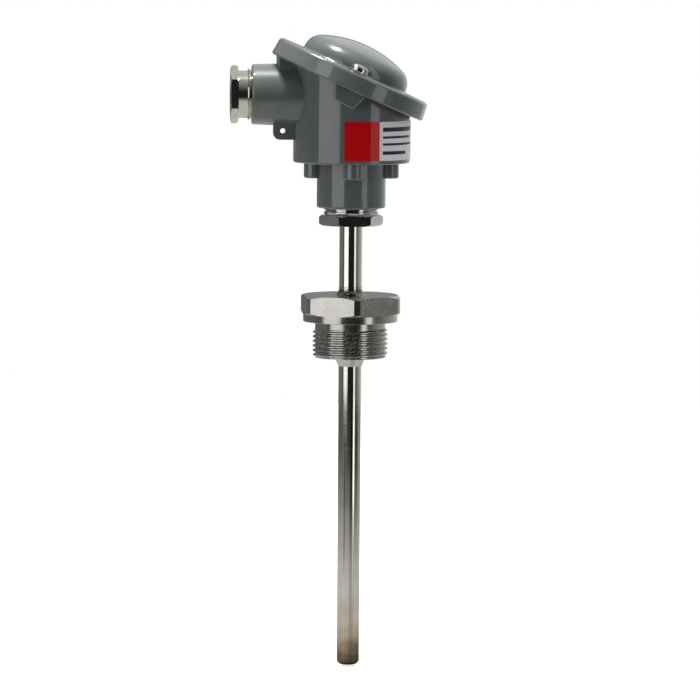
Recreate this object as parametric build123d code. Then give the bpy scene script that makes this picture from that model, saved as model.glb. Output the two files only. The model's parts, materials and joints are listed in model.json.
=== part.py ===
from build123d import *
import os
from math import cos, pi, radians, sin, tan

# Resistance temperature sensor: cast connection head, gland, neck tube and threaded process connection.
# Millimetres. +Z runs up the stem, the origin is the centre of the sealing face, the cable leaves along -X.

# Fits
thread_gap = 0.05
slip_gap = 0.05
face_gap = 0.02
seal_gap = 0.10
overlap = 1.0
blind_room = 0.5

# Protection tube and its welded end plug
insertion_length = 152.5
tube_radius = 5.0
tube_wall = 1.5
plug_length = 4.5
plug_rim = 2.4
plug_crown = 0.5
tube_top_inset = 1.0

# Process connection
thread_flank = radians(30)
thread_radius = 16.5
thread_pitch = 2.03
thread_depth = 1.15
thread_crest = 0.3
thread_lead_in = 0.8
undercut_length = 2.9
undercut_radius = 15.45
relief_radius = 17.0
relief_depth = 0.3
thread_run = 15.9
collar_radius = 20.75
collar_height = 3.2
process_bar_radius = 23.1
process_hex_flats = 41.3
process_hex_height = 8.45
process_hex_turn = 4.5
process_chamfer = 2.0
process_chamfer_height = 1.0
weld_foot = 6.6
weld_height = 3.6
weld_hollow = 0.33
weld_toe = 0.05
nose_foot = 6.75
nose_height = 3.9
nose_toe = 0.1

# Neck fitting between tube and head
neck_hex_base = 42.3
neck_hex_height = 4.5
neck_hex_flats = 24.6
neck_hex_turn = -25.2
neck_thread_radius = 12.0
neck_thread_pitch = 1.5
neck_thread_depth = 0.85
neck_thread_crest = 0.25
neck_thread_run = 14.0
neck_hex_chamfer = 1.3

# Connection head, cast body
head_gap_to_hex = 3.2
boss_radius = 15.1
boss_height = 20.0
boss_fillet = 1.0
body_radius = 25.6
body_wall = 3.5
floor_thickness = 3.5
body_fillet = 0.8
passage_radius = 9.0
insert_boss_radius = 4.4
insert_boss_fillet = 1.0
insert_boss_drop = 7.0
cable_height = 29.6
cable_boss_reach = 44.0
cable_boss_radius = 13.15
cable_boss_draft = 2.0
cable_boss_fillet = 0.8
hood_reach = 33.2
hood_half_width = 8.0
lug_reach = 34.7
lug_drop = 19.6
lug_thickness = 3.0
lug_centre_y = -4.7
lug_corner = 3.0
lug_hole_radius = 1.15
lug_hole_inset = 4.2
lug_hole_rise = 3.9
lug_overlap = 2.0

# Cover, on a plane that leans about Y
cover_tilt = 24.0
cover_axis_x = -2.316
cover_axis_height = 32.978
flange_height = 8.0
flange_draft = 0.8
flange_edge = 1.6
flange_foot_edge = 0.8
dome_foot_fillet = 1.0
dome_radius = 24.7
dome_draft = 4.0
dome_height = 12.35
dome_crown_radius = 50.0
dome_shoulder = 8.0
cover_wall = 3.0
cover_rim_land = 1.0
pocket_depth = 4.0
cover_screw_land = 5.6
dome_to_screw = 5.3
screw_to_flange_edge = 6.2
gasket_width = 2.0
gasket_thickness = 2.0

# Cover screws and their lugs on the body
m5_radius = 2.5
m5_head_radius = 4.25
m5_head_height = 2.8
m5_depth = 5.5
m5_washer_radius = 4.9
m5_washer_thickness = 1.0
slot_width = 1.2
slot_depth = 1.3
screw_slot_turn = 12.0
screw_to_lug_front = 3.2
screw_lug_left = 9.4
screw_lug_left_drop = 4.0
screw_lug_right = 3.9
screw_lug_right_drop = 3.5
screw_lug_tip_x = -1.2
screw_lug_tip_drop = 8.6
screw_lug_tip_round = 1.4
screw_lug_rise = 10.0
screw_lug_fillet = 0.8

# Label round the body
label_thickness = 0.25
label_low = 1.8
label_height = 17.0
label_start = -10.0
label_end = 125.0

# Cable gland
gland_hex_flats = 22.0
gland_hex_length = 3.3
gland_hex_chamfer = 0.9
gland_collar_radius = 10.35
gland_collar_length = 4.4
gland_thread_radius = 11.2
gland_thread_pitch = 1.41
gland_thread_depth = 0.8
gland_thread_crest = 0.25
gland_stand_off = 1.6
gland_engagement = 8.0
gland_bore_radius = 7.0
gland_mouth = 0.8
gland_hex_turn = 33.0
gland_lead_in = 0.6
seal_length = 6.0
seal_bore_radius = 5.5
gland_washer_thickness = 1.0
gland_washer_bore = 5.8
cable_passage_radius = 8.5

# Measuring insert
insert_lift = 2.5
chamber_to_plate = 1.1
screw_to_plate_edge = 4.5
plate_thickness = 1.5
plate_hole_radius = 2.4
sheath_radius = 3.0
sheath_wall = 0.6
sheath_tip = 1.0
sheath_above_plate = 1.5
element_radius = 2.2
element_length = 28.0
insulator_radius = 2.3
insulator_above_sheath = 1.0
wire_radius = 0.25
wire_offset = 0.9
m4_radius = 2.0
m4_head_radius = 3.5
m4_head_height = 2.6
m4_washer_radius = 4.4
m4_washer_thickness = 0.8
m4_depth = 8.0
spring_height = 13.0
spring_radius = 3.3
spring_wire = 0.5
spring_turns = 5
spring_end_gap = 0.1
earth_screw_short = 2.0
earth_head_room = 0.6

# Terminal block and its clamps
block_half_x = 13.0
block_to_plate_edge = 4.0
block_height = 10.0
block_corner = 2.0
spring_notch_radius = 5.2
well_half_x = 4.6
well_half_y = 5.4
clamp_length = 6.4
clamp_width = 5.6
clamp_height = 6.4
clamp_room = 0.1
clamp_inner_x = 6.2
clamp_offset_y = 4.3
clamp_hole_radius = 1.5
clamp_hole_height = 2.2
m3_radius = 1.5
m3_head_radius = 2.5
m3_head_height = 1.6
m3_reach = 2.6
m3_stand = 0.6
wire_slot = 1.6
wire_bend = 1.0
wire_lean_x = 2.4
wire_end_depth = 1.0

# Places worked out from the sizes
hex_base = collar_height
hex_top = hex_base + process_hex_height
tube_bottom = plug_length - insertion_length
neck_thread_top = neck_hex_base + neck_hex_height + neck_thread_run
head_base = neck_hex_base + neck_hex_height + head_gap_to_hex
body_base = head_base + boss_height
floor_top = body_base + floor_thickness
cavity_radius = body_radius - body_wall
cable_z = body_base + cable_height
cover_screw_offset = dome_radius + dome_to_screw
flange_radius = cover_screw_offset + screw_to_flange_edge
screw_lug_front = cover_screw_offset + screw_to_lug_front
neck_hole_radius = neck_thread_radius + thread_gap
gland_hole_radius = gland_thread_radius + thread_gap
plate_radius = cavity_radius - chamber_to_plate
screw_radius_out = plate_radius - screw_to_plate_edge
block_half_y = plate_radius - block_to_plate_edge
plate_base = floor_top + insert_lift
plate_top = plate_base + plate_thickness
spring_top = plate_top + spring_height
cover_frame = Plane(
    origin=(cover_axis_x, 0, body_base + cover_axis_height),
    x_dir=(cos(radians(cover_tilt)), 0, -sin(radians(cover_tilt))),
    z_dir=(sin(radians(cover_tilt)), 0, cos(radians(cover_tilt))),
)
big = 4 * (flange_radius + cable_boss_reach)


def turned(points):
    """Solid of revolution about Z from a closed outline of (radius, height) points."""
    outline = Polyline(*[(radius, 0, height) for radius, height in points], close=True)
    return revolve(make_face(outline), Axis.Z)


def rod(radius, low, high, x=0.0, y=0.0):
    """Upright cylinder from one height to another."""
    return Pos(x, y, low) * extrude(Circle(radius), high - low)


def ring(outer, inner, low, high, x=0.0, y=0.0):
    """Upright tube from one height to another."""
    return rod(outer, low, high, x, y) - rod(inner, low, high, x, y)


def ridges(start, step, count, crest_radius, depth, crest):
    """Outline points of a row of V-shaped thread ridges with flat crests, first ridge centred at start."""
    flank = depth * tan(thread_flank)
    half_root = (abs(step) - crest) / 2 - flank
    side = step / abs(step)
    points = []
    for k in range(count):
        centre = start + k * step
        reach = crest / 2 + flank
        if k:
            points.append((crest_radius - depth, centre - side * reach))
        points.append((crest_radius, centre - side * crest / 2))
        points.append((crest_radius, centre + side * crest / 2))
        points.append((crest_radius - depth, centre + side * reach))
        if half_root <= 0:
            points.pop()
    return points


def hexagon(flats, low, high, turn):
    """Upright hexagonal prism, a corner turned from -Y towards +X by turn degrees."""
    prism = extrude(RegularPolygon(flats / 2 / cos(pi / 6), 6), high - low)
    return Pos(0, 0, low) * Rot(0, 0, turn - 90) * prism


def slot_cut(head_radius, top, depth, turn):
    """Block that cuts a screwdriver slot in a head whose top is at height top."""
    block = Box(3 * head_radius, slot_width, 2 * depth)
    return Pos(0, 0, top) * Rot(0, 0, turn) * block


def cheese_screw(shaft_radius, shaft_length, head_radius, head_height, head_slot, turn=0.0):
    """Slotted cheese-head screw, its head resting on height 0 and its shaft pointing down."""
    bevel = head_height / 4
    tip = shaft_radius / 4
    body = turned(
        [
            (0, -shaft_length),
            (shaft_radius - tip, -shaft_length),
            (shaft_radius, tip - shaft_length),
            (shaft_radius, 0),
            (head_radius, 0),
            (head_radius, head_height - bevel),
            (head_radius - bevel, head_height),
            (0, head_height),
        ]
    )
    return body - slot_cut(head_radius, head_height, head_slot, turn)


def make_tube():
    """Polished tube, open below for its plug and ending inside the neck fitting."""
    return ring(tube_radius, tube_radius - tube_wall, tube_bottom, neck_thread_top - tube_top_inset)


def make_plug():
    """Welded end plug with a rounded rim and a slightly crowned end."""
    low = -insertion_length
    side = Line((tube_radius, 0, tube_bottom), (tube_radius, 0, low + plug_rim))
    bend = plug_rim * (1 - cos(pi / 4))
    flat_rim = tube_radius - plug_rim
    rim_middle = (tube_radius - bend, 0, low + bend + plug_crown / 3)
    rim = ThreePointArc(side @ 1, rim_middle, (flat_rim, 0, low + plug_crown / 2))
    end = Line(rim @ 1, (0, 0, low))
    outline = [side, rim, end, Line(end @ 1, (0, 0, tube_bottom)), Line((0, 0, tube_bottom), side @ 0)]
    return revolve(make_face(outline), Axis.Z)


def make_process_connection():
    """Hexagon milled on round bar, with collar, undercut and male thread, turned in one piece."""
    bar = turned(
        [
            (0, hex_base),
            (process_bar_radius - process_chamfer, hex_base),
            (process_bar_radius, hex_base + process_chamfer_height),
            (process_bar_radius, hex_top - process_chamfer_height),
            (process_bar_radius - process_chamfer, hex_top),
            (0, hex_top),
        ]
    )
    head = bar & hexagon(process_hex_flats, hex_base, hex_top, process_hex_turn)
    first = -undercut_length - thread_pitch * thread_lead_in
    count = int((thread_run + first - thread_crest) / thread_pitch) + 1
    shank = [(0, collar_height), (collar_radius, collar_height), (collar_radius, 0)]
    shank += [(relief_radius, 0), (relief_radius, relief_depth), (undercut_radius, relief_depth)]
    shank += [(undercut_radius, -undercut_length)]
    shank += ridges(first, -thread_pitch, count, thread_radius, thread_depth, thread_crest)
    shank += [(thread_radius - thread_depth, -thread_run), (0, -thread_run)]
    bore = rod(tube_radius + slip_gap, -thread_run, hex_top)
    return head + turned(shank) - bore


def make_upper_weld():
    """Hollow fillet weld from the hexagon's top face up to the tube."""
    inner = tube_radius + slip_gap
    foot = (weld_foot, 0, hex_top)
    crest = (inner + weld_toe, 0, hex_top + weld_height)
    middle = ((inner + weld_foot) / 2 - weld_hollow, 0, hex_top + weld_height / 3)
    sweep_line = ThreePointArc(foot, middle, crest)
    outline = [sweep_line, Line(crest, (inner, 0, hex_top + weld_height))]
    outline += [Line((inner, 0, hex_top + weld_height), (inner, 0, hex_top)), Line((inner, 0, hex_top), foot)]
    return revolve(make_face(outline), Axis.Z)


def make_lower_weld():
    """Conical weld from the thread's end face down to the tube."""
    inner = tube_radius + slip_gap
    low = -thread_run - nose_height
    return turned([(inner, -thread_run), (nose_foot, -thread_run), (inner + nose_toe, low), (inner, low)])


def make_neck_fitting():
    """Thin hexagon with the male thread that carries the head, bored for the tube."""
    low = neck_hex_base
    shoulder = low + neck_hex_height
    corner = neck_hex_flats / 2 / cos(pi / 6)
    slope = neck_hex_chamfer * tan(radians(30))
    blank = turned(
        [
            (0, low),
            (corner - neck_hex_chamfer, low),
            (corner, low + slope),
            (corner, shoulder - slope),
            (corner - neck_hex_chamfer, shoulder),
            (0, shoulder),
        ]
    )
    head = blank & hexagon(neck_hex_flats, low, shoulder, neck_hex_turn)
    first = shoulder + neck_thread_pitch * thread_lead_in
    count = int((neck_thread_top - first - neck_thread_crest) / neck_thread_pitch) + 1
    root = neck_thread_radius - neck_thread_depth
    shank = [(0, shoulder - overlap), (root, shoulder - overlap)]
    shank += ridges(first, neck_thread_pitch, count, neck_thread_radius, neck_thread_depth, neck_thread_crest)
    shank += [(root, neck_thread_top), (0, neck_thread_top)]
    return head + turned(shank) - rod(tube_radius + slip_gap, low, neck_thread_top)


def under_cover(solid):
    """The part of a solid below the cover's seat."""
    above = cover_frame * Pos(0, 0, big / 2) * Box(big, big, big)
    return solid - above


def screw_lug(side):
    """Cast lug under the flange that takes one cover screw, its front face a five-sided outline."""
    seat = cover_frame.origin.Z
    points = [
        (-screw_lug_left, seat + screw_lug_rise),
        (-screw_lug_left, seat - screw_lug_left_drop),
        (screw_lug_tip_x, seat - screw_lug_tip_drop),
        (screw_lug_right, seat - screw_lug_right_drop),
        (screw_lug_right, seat + screw_lug_rise),
    ]
    outline = make_face(Polyline(*points, close=True))
    outline = fillet(outline.vertices().sort_by(Axis.Y)[0], screw_lug_tip_round)
    length = screw_lug_front - cavity_radius
    lug = extrude(Rot(90, 0, 0) * outline, length, dir=(0, 1, 0))
    front = lug.faces().sort_by(Axis.Y)[-1]
    lug = fillet(front.edges(), screw_lug_fillet)
    lug = Pos(0, cavity_radius, 0) * lug
    return lug if side > 0 else mirror(lug, Plane.XZ)


def make_body():
    """Cast head: neck boss, drafted cable boss with its hood, screw lugs, seal lug, chamber and bores."""
    seat_top = body_base + cover_axis_height + flange_radius
    neck = rod(boss_radius, head_base, body_base + overlap)
    neck = fillet(neck.edges().group_by(Axis.Z)[0], boss_fillet)
    shell = rod(body_radius, body_base, seat_top)
    shell = fillet(shell.edges().group_by(Axis.Z)[0], body_fillet)
    grow = (cable_boss_reach - body_radius / 2) * tan(radians(cable_boss_draft))
    cable = Cone(cable_boss_radius + grow, cable_boss_radius, cable_boss_reach - body_radius / 2)
    cable = fillet(cable.edges().group_by(Axis.Z)[-1], cable_boss_fillet)
    cable = Pos(-(cable_boss_reach + body_radius / 2) / 2, 0, cable_z) * Rot(0, -90, 0) * cable
    hood_plan = Circle(hood_reach) & Pos(-hood_reach / 2, 0) * Rectangle(hood_reach, 2 * hood_half_width)
    hood = Pos(0, 0, cable_z) * extrude(hood_plan, seat_top - cable_z)
    body = neck + shell + cable + hood + screw_lug(1) + screw_lug(-1)
    for x, y in ((1, 0), (0, 1), (-1, 0), (0, -1)):
        centre_x = x * screw_radius_out
        centre_y = y * screw_radius_out
        boss = rod(insert_boss_radius, body_base - insert_boss_drop, floor_top, centre_x, centre_y)
        body += fillet(boss.edges().group_by(Axis.Z)[0], insert_boss_fillet)
    body += make_seal_lug()
    body = under_cover(body)
    body -= rod(cavity_radius, floor_top, seat_top)
    body -= rod(neck_hole_radius, head_base, neck_thread_top + overlap)
    body -= rod(passage_radius, head_base, floor_top)
    bore = Rot(0, -90, 0) * rod(gland_hole_radius, gland_seat_x(), cable_boss_reach + overlap)
    passage = Rot(0, -90, 0) * rod(cable_passage_radius, 0, cable_boss_reach)
    body -= Pos(0, 0, cable_z) * bore
    body -= Pos(0, 0, cable_z) * passage
    m4_hole = m4_radius + thread_gap
    for x, y in ((1, 0), (0, 1), (-1, 0), (0, -1)):
        centre_x = x * screw_radius_out
        centre_y = y * screw_radius_out
        low = floor_top - m4_depth - blind_room
        body -= rod(m4_hole, low, floor_top + overlap, centre_x, centre_y)
    m5_hole = m5_radius + thread_gap
    low = -m5_depth - blind_room
    for side in (1, -1):
        body -= cover_frame * rod(m5_hole, low, overlap, 0, side * cover_screw_offset)
    return body


def gland_seat_x():
    """Distance from the stem's axis to the step that the gland's seal is pressed on."""
    stack = gland_engagement + seal_length + 2 * gland_washer_thickness
    return cable_boss_reach - stack


def make_seal_lug():
    """Thin ear under the cable boss with a hole for a seal wire."""
    low = cable_z - lug_drop
    width = lug_reach - cavity_radius - lug_overlap / 2
    height = lug_drop - cable_boss_radius + lug_overlap
    plate = Rectangle(width, height, align=(Align.MIN, Align.MIN))
    corner = plate.vertices().group_by(Axis.X)[0].sort_by(Axis.Y)[0]
    plate = fillet(corner, lug_corner)
    hole = Pos(lug_hole_inset, lug_hole_rise) * Circle(lug_hole_radius)
    ear = Rot(90, 0, 0) * extrude(plate - hole, lug_thickness)
    return Pos(-lug_reach, lug_centre_y + lug_thickness / 2, low) * ear


def make_label():
    """Foil label bent round the body's lower part."""
    foil = ring(
        body_radius + label_thickness + slip_gap / 2,
        body_radius + slip_gap / 2,
        body_base + label_low,
        body_base + label_low + label_height,
    )
    wedge_radius = 2 * body_radius
    start = label_start - 90
    sweep_angle = label_end - label_start
    arc = CenterArc((0, 0), wedge_radius, start, sweep_angle)
    wedge = make_face([Line((0, 0), arc @ 0), arc, Line(arc @ 1, (0, 0))])
    return foil & Pos(0, 0, body_base) * extrude(wedge, 2 * label_height)


def dome_outline(radius, low, crown, top, shoulder):
    """Half outline of a dome: a drafted wall, a round shoulder and a spherical crown."""
    crown_centre = top - crown
    wall_foot = (radius, low)
    wall_head = (radius - (top + crown - low) * tan(radians(dome_draft)), top + crown)
    field = make_face(Polyline((0, low), wall_foot, wall_head, (0, top + crown), close=True))
    outline = field & Pos(0, crown_centre) * Circle(crown)
    corner = outline.vertices().sort_by(Axis.X)[-2]
    return fillet(corner, shoulder)


def make_cover():
    """Cast cover: drafted flange with a rounded edge, dome, hollow inside, pocket, lands and screw holes."""
    top_radius = flange_radius - flange_draft
    plate = make_face(
        Polyline((0, 0), (flange_radius, 0), (top_radius, flange_height), (0, flange_height), close=True)
    )
    plate = fillet(plate.vertices().group_by(Axis.Y)[-1].sort_by(Axis.X)[-1], flange_edge)
    plate = fillet(plate.vertices().group_by(Axis.Y)[0].sort_by(Axis.X)[-1], flange_foot_edge)
    crown_top = flange_height + dome_height
    outer = plate + dome_outline(dome_radius, flange_height / 2, dome_crown_radius, crown_top, dome_shoulder)
    on_flange = outer.vertices().filter_by(lambda v: abs(v.Y - flange_height) < dome_foot_fillet / 2)
    outer = fillet(on_flange.sort_by(Axis.X)[0], dome_foot_fillet)
    inner = dome_outline(
        cavity_radius - cover_rim_land,
        -flange_height,
        dome_crown_radius - cover_wall,
        crown_top - cover_wall,
        dome_shoulder - cover_wall,
    )
    section = Plane.XZ * (outer - inner)
    cover = cover_frame * revolve(section, Axis.Z)
    pocket = rod(flange_radius - cover_wall, -overlap, pocket_depth)
    for side in (1, -1):
        pocket -= rod(cover_screw_land, -overlap, pocket_depth, 0, side * cover_screw_offset)
    land = rod(body_radius + cover_rim_land, body_base, body_base + big)
    cover -= cover_frame * pocket - land
    cover -= gasket_ring(seal_gap, gasket_thickness + seal_gap)
    for side in (1, -1):
        hole = rod(m5_radius + slip_gap, -overlap, flange_height + overlap, 0, side * cover_screw_offset)
        cover -= cover_frame * hole
    return cover_frame * Pos(0, 0, face_gap) * cover_frame.location.inverse() * cover


def gasket_ring(gap, thickness):
    """Ring that follows the body's rim, from the cover's seat up into the cover, grown by a gap all round."""
    middle = (cavity_radius + body_radius) / 2
    half = gasket_width / 2 + gap
    tube = ring(middle + half, middle - half, body_base, body_base + big)
    slab = cover_frame * Pos(0, 0, thickness / 2) * Box(big, big, thickness)
    return tube & slab


def make_cover_screw(side):
    """Cover screw, captive in the cover, with its washer below the head."""
    seat = flange_height + m5_washer_thickness + 2 * face_gap
    length = seat + m5_depth
    screw = cheese_screw(m5_radius, length, m5_head_radius, m5_head_height, slot_depth, screw_slot_turn)
    return cover_frame * Pos(0, side * cover_screw_offset, seat) * screw


def make_cover_washers():
    """The two washers under the cover screws."""
    low = flange_height + face_gap
    high = low + m5_washer_thickness
    bore = m5_radius + slip_gap
    places = [(0, side * cover_screw_offset) for side in (-1, 1)]
    return Compound(children=[cover_frame * ring(m5_washer_radius, bore, low, high, x, y) for x, y in places])


def make_gland_screw():
    """Pressure screw: hexagon, round collar and male thread, bored for the cable."""
    tip = cable_boss_reach - gland_engagement
    root = gland_thread_radius - gland_thread_depth
    thread_end = cable_boss_reach + gland_stand_off
    hex_low = thread_end + gland_collar_length
    hex_high = hex_low + gland_hex_length
    corner = gland_hex_flats / 2 / cos(pi / 6)
    slope = gland_hex_chamfer * tan(radians(30))
    blank = turned(
        [
            (0, hex_low),
            (corner - gland_hex_chamfer, hex_low),
            (corner, hex_low + slope),
            (corner, hex_high - slope),
            (corner - gland_hex_chamfer, hex_high),
            (0, hex_high),
        ]
    )
    head = blank & hexagon(gland_hex_flats, hex_low, hex_high, gland_hex_turn)
    pitch = gland_thread_pitch
    first = tip + pitch * gland_lead_in
    count = int((thread_end - first - gland_thread_crest) / pitch) + 1
    shank = [(0, tip), (root, tip)]
    shank += ridges(first, pitch, count, gland_thread_radius, gland_thread_depth, gland_thread_crest)
    shank += [(root, thread_end), (gland_collar_radius, thread_end)]
    shank += [(gland_collar_radius, hex_low), (0, hex_low)]
    screw = head + turned(shank) - rod(gland_bore_radius, tip, hex_high)
    mouth = turned(
        [
            (0, hex_high - gland_mouth),
            (gland_bore_radius, hex_high - gland_mouth),
            (gland_bore_radius + gland_mouth, hex_high),
            (0, hex_high),
        ]
    )
    return along_cable(screw - mouth)


def along_cable(solid):
    """Lay a solid modelled along +Z down on the cable's axis, pointing along -X."""
    return Pos(0, 0, cable_z) * Rot(0, -90, 0) * solid


def make_gland_washers():
    """Thin washers on both sides of the seal ring."""
    outer = gland_hole_radius - seal_gap
    low = gland_seat_x()
    high = low + gland_washer_thickness + seal_length
    thickness = gland_washer_thickness - face_gap
    washers = [along_cable(ring(outer, gland_washer_bore, start, start + thickness)) for start in (low, high)]
    return Compound(children=washers)


def make_seal_ring():
    """Soft ring that grips the cable."""
    outer = gland_hole_radius - seal_gap
    low = gland_seat_x() + gland_washer_thickness
    return along_cable(ring(outer, seal_bore_radius, low, low + seal_length - face_gap))


def make_plate():
    """Round plate of the measuring insert with its centre hole and two screw holes."""
    plate = rod(plate_radius, plate_base, plate_top)
    plate -= rod(sheath_radius + slip_gap, plate_base, plate_top)
    for side in (-1, 1):
        plate -= rod(plate_hole_radius, plate_base, plate_top, 0, side * screw_radius_out)
    return plate


def make_sheath():
    """Thin closed tube that carries the sensing element to the protection tube's end."""
    low = tube_bottom + face_gap
    high = plate_top + sheath_above_plate
    sheath = rod(sheath_radius, low, high) - rod(sheath_radius - sheath_wall, low + sheath_tip, high)
    rim = sheath.edges().group_by(Axis.Z)[0]
    return chamfer(rim, sheath_wall / 2)


def element_low():
    return tube_bottom + sheath_tip + 2 * face_gap


def wire_places():
    """The four wires' places round the axis, paired with their terminals' signs."""
    return [(x, y) for x in (-1, 1) for y in (-1, 1)]


def make_element():
    """Ceramic sensing element in the sheath's tip."""
    return rod(element_radius, element_low(), element_low() + element_length)


def insulator_top():
    return plate_top + sheath_above_plate + insulator_above_sheath


def make_insulator():
    """Four-bore ceramic rod that keeps the wires apart."""
    low = element_low() + element_length
    body = rod(insulator_radius, low, insulator_top())
    for x, y in wire_places():
        body -= rod(wire_radius + slip_gap, low, insulator_top(), x * wire_offset, y * wire_offset)
    return body


def make_wires():
    """Four wires from the element up through the insulator, bent out to their clamps."""
    low = element_low() + element_length
    high = plate_top + clamp_floor() + clamp_hole_height
    clear = insulator_top() + wire_bend
    wires = []
    for x, y in wire_places():
        start = Vector(x * wire_offset, y * wire_offset, low)
        rise = Vector(x * wire_offset, y * wire_offset, clear)
        lean = Vector(x * wire_lean_x, y * clamp_offset_y, high)
        end = Vector(x * (clamp_inner_x + wire_end_depth), y * clamp_offset_y, high)
        route = FilletPolyline(start, rise, lean, end, radius=wire_bend)
        wires.append(sweep(Circle(wire_radius).faces()[0].moved(Location(start)), path=route))
    return Compound(children=wires)


def clamp_floor():
    """Height of the clamps' pockets above the block's foot."""
    return block_height - clamp_height


def make_block():
    """Ceramic block with notches round the springs, a well for the wires and a pocket for each clamp."""
    plan = RectangleRounded(2 * block_half_x, 2 * block_half_y, block_corner)
    for side in (-1, 1):
        plan -= Pos(0, side * screw_radius_out) * Circle(spring_notch_radius)
    block = Pos(0, 0, plate_top) * extrude(plan, block_height)
    block -= Pos(0, 0, plate_top) * extrude(Rectangle(2 * well_half_x, 2 * well_half_y), block_height)
    low = plate_top + clamp_floor()
    room = clamp_room
    for x, y in wire_places():
        pocket_x = block_half_x - clamp_inner_x + room
        centre_x = x * (clamp_inner_x - room + pocket_x / 2)
        centre_y = y * clamp_offset_y
        pocket = extrude(Rectangle(pocket_x, clamp_width + 2 * room), clamp_height + overlap)
        block -= Pos(centre_x, centre_y, low) * pocket
        slot = extrude(Rectangle(clamp_inner_x, wire_slot), clamp_height + overlap)
        block -= Pos(x * clamp_inner_x / 2, centre_y, low) * slot
    return block


def make_clamps():
    """Four brass clamps, each with a hole for the core and one for its screw."""
    low = plate_top + clamp_floor()
    clamps = []
    for x, y in wire_places():
        block = Pos(0, 0, low) * extrude(Rectangle(clamp_length, clamp_width), clamp_height)
        tunnel = Pos(-clamp_length, 0, low + clamp_hole_height) * Rot(0, 90, 0)
        block -= tunnel * extrude(Circle(clamp_hole_radius), 2 * clamp_length)
        block -= rod(m3_radius + slip_gap, low + clamp_hole_height, low + clamp_height, 0, 0)
        centre_x = x * (clamp_inner_x + clamp_length / 2)
        clamps.append(Pos(centre_x, y * clamp_offset_y, 0) * block)
    return Compound(children=clamps)


def make_terminal_screw(x, y):
    """Slotted screw that presses a core in its clamp."""
    top = plate_top + block_height + m3_stand
    screw = cheese_screw(m3_radius, m3_reach + m3_stand, m3_head_radius, m3_head_height, m3_head_height / 2)
    centre_x = x * (clamp_inner_x + clamp_length / 2)
    return Pos(centre_x, y * clamp_offset_y, top) * screw


def make_spring(side):
    """Compression spring between the insert's plate and its screw's washer."""
    low = plate_top + spring_wire + spring_end_gap
    height = spring_height - 2 * spring_wire - 2 * spring_end_gap
    path = Helix(height / spring_turns, height, spring_radius)
    wire = Plane(origin=path @ 0, z_dir=path % 0) * Circle(spring_wire)
    coil = sweep(wire, path=path, is_frenet=True)
    return Pos(0, side * screw_radius_out, low) * coil


def make_insert_screws():
    """The two screws that hold the insert against its springs."""
    seat = spring_top + m4_washer_thickness
    length = seat - floor_top + m4_depth
    screw = cheese_screw(m4_radius, length, m4_head_radius, m4_head_height, slot_depth)
    return Compound(children=[Pos(0, side * screw_radius_out, seat) * screw for side in (-1, 1)])


def make_insert_washers():
    """Washers between the springs and their screws' heads."""
    high = spring_top + m4_washer_thickness - face_gap
    bore = m4_radius + slip_gap
    places = [(0, side * screw_radius_out) for side in (-1, 1)]
    return Compound(children=[ring(m4_washer_radius, bore, spring_top, high, x, y) for x, y in places])


def make_earth_screw():
    """Short screw in the floor's free tapped hole."""
    length = m4_depth - earth_screw_short
    head = insert_lift - earth_head_room
    screw = cheese_screw(m4_radius, length, m4_head_radius, head, slot_depth / 2)
    return Pos(screw_radius_out, 0, floor_top) * screw


nodes = {
    "head_body": make_body(),
    "head_cover": make_cover(),
    "cover_gasket": gasket_ring(0, gasket_thickness),
    "cover_screw_front": make_cover_screw(-1),
    "cover_screw_rear": make_cover_screw(1),
    "cover_washers": make_cover_washers(),
    "data_label": make_label(),
    "gland_screw": make_gland_screw(),
    "gland_washers": make_gland_washers(),
    "gland_seal_ring": make_seal_ring(),
    "neck_fitting": make_neck_fitting(),
    "protection_tube": make_tube(),
    "tube_end_plug": make_plug(),
    "process_connection": make_process_connection(),
    "weld_upper": make_upper_weld(),
    "weld_lower": make_lower_weld(),
    "insert_plate": make_plate(),
    "insert_sheath": make_sheath(),
    "sensing_element": make_element(),
    "wire_insulator": make_insulator(),
    "lead_wires": make_wires(),
    "terminal_block": make_block(),
    "terminal_clamps": make_clamps(),
    "insert_spring_front": make_spring(-1),
    "insert_spring_rear": make_spring(1),
    "insert_screws": make_insert_screws(),
    "insert_washers": make_insert_washers(),
    "earth_screw": make_earth_screw(),
}
for number, (sign_x, sign_y) in enumerate(wire_places(), 1):
    nodes[f"terminal_screw_{number}"] = make_terminal_screw(sign_x, sign_y)

os.makedirs("parts", exist_ok=True)
for name, solid in nodes.items():
    export_step(solid, f"parts/{name}.step")
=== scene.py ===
import json
from math import cos, pi, radians, sin

import bmesh
import bpy
import numpy as np
from mathutils import Matrix, Vector


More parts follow.
